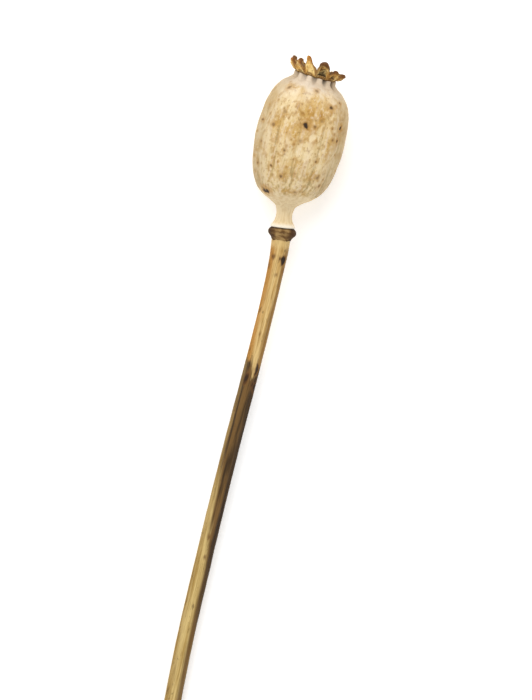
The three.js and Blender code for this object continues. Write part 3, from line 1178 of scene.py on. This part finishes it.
# For each ray: how high it stands, how broad its tip is, how far that tip hooks out, how far it nods down
# again, how far it drifts aside, how dark it has weathered and how deeply it is folded.
RAY_GROWTH = (
    (0.65, 0.9, 0.5, 0.3, 0.3, 0.7, 0.4),
    (0.85, 0.8, 0.1, 0, -0.4, 0.5, 0.5),
    (0.95, 0.9, 0, 0, 0.3, 0.6, 0.6),
    (0.9, 0.95, 0.5, 0.4, 0.1, 0.4, 0.4),
    (0.84, 0.75, 0.3, 0, -0.3, 0.5, 0.5),
    (1.4, 0.85, -0.8, 0, -2.0, 0.3, 0.4),
    (1.55, 1.6, 1.5, 2.7, -0.8, 1.0, 0.9),
    (0.88, 0.8, 0.4, 0.5, -0.2, 0.8, 0.7),
    (0.66, 0.95, 0.7, 0.6, 0.2, 0.9, 0.6),
    (0.6, 0.9, 0.2, 0.2, -0.3, 0.7, 0.5),
    (0.6, 0.9, 0.5, 0.3, 0.4, 0.5, 0.4),
    (0.55, 0.85, 0.6, 0.3, -0.2, 0.6, 0.5),
)


def ray_path(index):
    """The middle line of one ray, as a function of the share of its length, and its side."""
    turn = (index + 0.5) / RAYS * math.tau + math.pi
    lift, _, hook, nod, drift, _, _ = RAY_GROWTH[index]
    out = Vector((math.sin(turn), 0, math.cos(turn)))
    side = Vector((math.cos(turn), 0, -math.sin(turn)))

    def at(t):
        ridge = RAY_RIDGE * (1 - ease(0.3, 0.55, t))
        tip = ease(0.65, 1.1, t)
        rise = lift * ray_rise(t) + (1 - lift) * DISC_TOP + ridge - nod * tip * tip
        return out * (ray_out(t) + hook * tip) + Vector((0, rise, 0)) + side * (drift * tip)

    return at, side


tips = [ray_path(index)[0](1).y for index in range(RAYS)]
print("ray tips stand", round(min(tips), 1), "to", round(max(tips), 1), "mm above the disc's foot")

# %% Shape the rays
RAY_STEPS = 28
RAY_PITCH = 0.22
RAY_FLATNESS = 0.34
RAY_KNOB = 0.3
RAY_WRINKLE = 0.12
RAY_TWIST = 0.2
PATH_STEP = 0.02
MARKS = ("length", "upper", "edge", "wrinkle", "scorch")


def ray_mesh(index):
    """One ray, folded so that its outer side is a gutter, wrinkled and twisted a little."""
    bm = turned(outline_of(0, RAY_LENGTH, ray_width, RAY_PITCH), RAY_STEPS)
    length, upper, edge, wrinkle, scorch = (bm.verts.layers.float.new(name) for name in MARKS)
    at, side = ray_path(index)
    _, breadth, _, _, drift, dark, fold = RAY_GROWTH[index]
    for v in bm.verts:
        x, s, z = v.co
        w = ray_width(s)
        t = s / RAY_LENGTH
        v[length] = t
        v[upper] = 0.5 + 0.5 * z / w
        v[edge] = abs(x) / w
        v[wrinkle] = noise.noise(Vector((x * 2.4, s * 0.3, index * 5)))
        v[scorch] = dark * ease(0.65, 0.98, t)
        arch = fold * ease(0.3, 0.7, t)
        thick = RAY_FLATNESS + RAY_KNOB * ease(0.7, 0.95, t) + RAY_WRINKLE * v[wrinkle]
        z = thick * z + arch * w * (1 - (x / w) ** 2)
        x *= 1 + (breadth - 1) * ease(0.78, 0.9, t)
        along = (at(t + PATH_STEP) - at(t - PATH_STEP)).normalized()
        over = along.cross(side)
        roll = Matrix.Rotation(RAY_TWIST * drift * ease(0.5, 1, t), 3, along)
        v.co = at(t) + roll @ (side * x + over * z)
    bmesh.ops.recalc_face_normals(bm, faces=bm.faces)
    return bm


ray_bms = [ray_mesh(index) for index in range(RAYS)]
print(len(ray_bms), "rays of", len(ray_bms[0].verts), "points each")

# %% [markdown]
# ### Disc
# The rays stand on a thin disc that covers the top of the capsule like a lid, with its rim turned up between
# them. It could be left out, as the rays nearly touch, but light would shine through at the rim.

# %% Shape the disc
DISC_OUTLINE = (
    (0, 0), (5.6, 0), (6.3, 0.4), (6.9, 1.0), (6.8, 1.25), (6.4, 1.1), (5.6, 0.65), (3, 0.55), (0, DISC_TOP),
)
DISC_STEPS = 144
DISC_SCALLOP = 0.02
DISC_LENGTH_MARK = 0.07


def disc_mesh():
    """The disc that joins the rays, scalloped between them."""
    bm = turned(DISC_OUTLINE, DISC_STEPS)
    bmesh.ops.subdivide_edges(bm, edges=bm.edges, cuts=2, use_grid_fill=True)
    length, upper, *_ = (bm.verts.layers.float.new(name) for name in MARKS)
    for v in bm.verts:
        p = v.co
        r = math.hypot(p.x, p.z)
        v[length] = DISC_LENGTH_MARK * r
        v[upper] = 1
        notch = 0.5 + 0.5 * math.cos(RAYS * turn_of(p))
        push_out(p, -DISC_SCALLOP * r * ease(3, 6.5, r) * notch)
    return bm


disc_bm = disc_mesh()
print("disc has", len(disc_bm.verts), "points")

# %% [markdown]
# ### One skin for the crown
# On the real crown rays and disc are one growth. A Boolean would join them with hard seams. A voxel remesh
# fuses them into one skin with soft seams, and the marks of each ray are carried over to the nearest points
# of the new skin. A little smoothing and noise then take away the steps of the voxels.

# %% Fuse them
VOXEL = 0.13
NEIGHBOURS = 3


def fused(bms):
    """Several closed shapes as one closed skin, and the marks that they had, with their places."""
    both = bmesh.new()
    marks = []
    for bm in bms:
        layers = [bm.verts.layers.float[name] for name in MARKS]
        marks += [(v.co.copy(), [v[layer] for layer in layers]) for v in bm.verts]
        mesh = bpy.data.meshes.new("part")
        bm.to_mesh(mesh)
        bm.free()
        both.from_mesh(mesh)
        bpy.data.meshes.remove(mesh)
    mesh = bpy.data.meshes.new("fused")
    both.to_mesh(mesh)
    both.free()
    work = bpy.data.objects.new("fused", mesh)
    bpy.context.collection.objects.link(work)
    remesh = work.modifiers.new("fuse", "REMESH")
    remesh.mode = "VOXEL"
    remesh.voxel_size = VOXEL
    result = bmesh.new()
    result.from_object(work, bpy.context.evaluated_depsgraph_get())
    bpy.data.objects.remove(work)
    bpy.data.meshes.remove(mesh)
    return result, marks


def carry_over(bm, marks):
    """Gives each point the mean marks of the old points nearest to it."""
    tree = KDTree(len(marks))
    for i, (co, _) in enumerate(marks):
        tree.insert(co, i)
    tree.balance()
    layers = [bm.verts.layers.float.new(name) for name in MARKS]
    for v in bm.verts:
        near = [marks[i][1] for _, i, _ in tree.find_n(v.co, NEIGHBOURS)]
        for k, layer in enumerate(layers):
            v[layer] = sum(values[k] for values in near) / NEIGHBOURS


crown_bm, ray_marks = fused([disc_bm] + ray_bms)
carry_over(crown_bm, ray_marks)
print("crown has", len(crown_bm.verts), "points")

# %% Soften the crown
SMOOTHINGS = 2
CROWN_LUMPS = 0.09
CROWN_GRAIN = 0.05


def soften(bm):
    """Smooths away the voxels and roughens the skin like velvet."""
    for _ in range(SMOOTHINGS):
        bmesh.ops.smooth_vert(
            bm, verts=bm.verts, factor=0.5, use_axis_x=True, use_axis_y=True, use_axis_z=True
        )
    bm.normal_update()
    moves = [
        v.normal * (CROWN_LUMPS * noise.noise(v.co * 1.3) + CROWN_GRAIN * noise.noise(v.co * 3.4))
        for v in bm.verts
    ]
    for v, move in zip(bm.verts, moves):
        v.co += move
    return max(move.length for move in moves)


print("the roughest point moved", round(soften(crown_bm), 3), "mm")

# %% [markdown]
# ### Clefts of the crown
# Dust and shade make the clefts between the rays nearly black. An ambient occlusion node could find them, but
# it doesn't survive an export. Here each point looks around with a few rays of its own instead, and stores
# how many of them hit the crown.

# %% Find the clefts
CLEFT_REACH = 2.2
CLEFT_LOOKS = 12
CLEFT_START = 0.02
SPIRAL_STEP = 2.4


def mark_clefts(bm):
    """Stores how much of the sky around each point its neighbours hide."""
    tree = BVHTree.FromBMesh(bm)
    cleft = bm.verts.layers.float.new("cleft")
    looks = []
    for k in range(CLEFT_LOOKS):
        rise = (k + 0.5) / CLEFT_LOOKS
        turn = k * SPIRAL_STEP
        flat = math.sqrt(1 - rise * rise)
        looks.append(Vector((flat * math.cos(turn), flat * math.sin(turn), rise)))
    bm.normal_update()
    for v in bm.verts:
        face_up = v.normal.to_track_quat("Z", "Y")
        start = v.co + v.normal * CLEFT_START
        hits = sum(tree.ray_cast(start, face_up @ look, CLEFT_REACH)[0] is not None for look in looks)
        v[cleft] = hits / CLEFT_LOOKS
    return sum(v[cleft] > 0.5 for v in bm.verts)


print(mark_clefts(crown_bm), "points lie deep in clefts")

# %% [markdown]
# ### Finish of the crown
# The rays are golden outside, marbled and wrinkled lengthwise, with dark velvet on their upper faces, tips
# that the weather has burnt and black clefts. One brown with noise would lose the rays in each other. The
# marks say where the lip, the tip and the upper face of each ray are, so each gets its own layer.

# %% Velvet finish
RAY_GOLD = colour(255, 224, 150)
RAY_AMBER = colour(230, 182, 98)
RAY_WRINKLED = colour(164, 108, 44)
RAY_MARBLED = colour(162, 106, 40)
RAY_LIP = colour(132, 82, 30)
RAY_BURNT = colour(170, 102, 32)
RAY_WEATHERED = colour(96, 58, 22)
RAY_VELVET = colour(96, 54, 18)
RAY_INNER = colour(104, 80, 54)
RAY_NAP = colour(104, 62, 22)
RAY_CLEFT_DUST_AND_SHADE = colour(40, 24, 10)


def crown_finish():
    """Golden rays, wrinkled lengthwise, with dark velvet upper faces, weathered tips and black clefts."""
    material, tree = finish("golden rays")
    grown = marked(tree, "grown", "Vector")
    cleft = marked(tree, "cleft")
    length, upper, edge, wrinkle, scorch = (marked(tree, name) for name in MARKS)
    patches = cloud(tree, grown, (0.6, 0.6, 0.6), 3, 0.5)
    marbling = cloud(tree, grown, (0.75, 0.5, 0.75), 2, 0.5, 0.5)
    velvet = cloud(tree, grown, (2.2, 2.2, 2.2), 4, 0.65)
    lip = times(tree, mask(tree, edge, 0.6, 0.95), mask(tree, length, 0.5, 0.65))
    burnt = times(tree, mask(tree, length, 0.82, 0.97), mask(tree, patches, 0.28, 0.55))
    weather = mask(tree, plus(tree, scorch, calc(tree, "SUBTRACT", velvet, 0.5)), 0.3, 0.9)
    face = times(tree, mask(tree, upper, 0.5, 0.75), mask(tree, velvet, 0.8, 0.4))

    tint = laid(tree, mask(tree, patches, 0.36, 0.64), RAY_GOLD, RAY_AMBER)
    tint = washed(tree, tint, mask(tree, wrinkle, 0.0, -0.4), 0.55, RAY_WRINKLED)
    tint = washed(tree, tint, mask(tree, marbling, 0.5, 0.62), 0.5, RAY_MARBLED)
    tint = washed(tree, tint, lip, 0.75, RAY_LIP)
    tint = washed(tree, tint, burnt, 0.75, RAY_BURNT)
    tint = washed(tree, tint, weather, 0.85, RAY_WEATHERED)
    tint = washed(tree, tint, face, 0.85, RAY_VELVET)
    tint = washed(tree, tint, mask(tree, length, 0.5, 0.3), 0.75, RAY_INNER)
    tint = washed(tree, tint, mask(tree, velvet, 0.54, 0.7), 0.4, RAY_NAP)
    # Clefts between the rays: dust and painted shade, by how hidden each point is.
    tint = washed(tree, tint, mask(tree, cleft, 0.22, 0.6), 0.93, RAY_CLEFT_DUST_AND_SHADE)
    shade(material, tint, mask(tree, velvet, -1, 1.1), raised(tree, velvet, 0.00015))
    return material


# %% [markdown]
# ### Setting the crown
# The crown sits on the top of the capsule and leans a little to the right with it. It could be modelled in
# its place from the start, but around the middle of the straight axis every ray is one plain turn. So it is
# leaned and lifted last, before the plant is bent.

# %% Set the crown on the capsule
tilt = Matrix.Rotation(-CROWN_TILT, 4, "Z")
lift_to_top = Matrix.Translation((0, CAPSULE_TOP + GAP, 0))
bmesh.ops.transform(crown_bm, matrix=lift_to_top @ tilt, verts=crown_bm.verts)
grow(crown_bm)
finished("crown_rays", crown_bm, "stigma_crown", crown_finish())
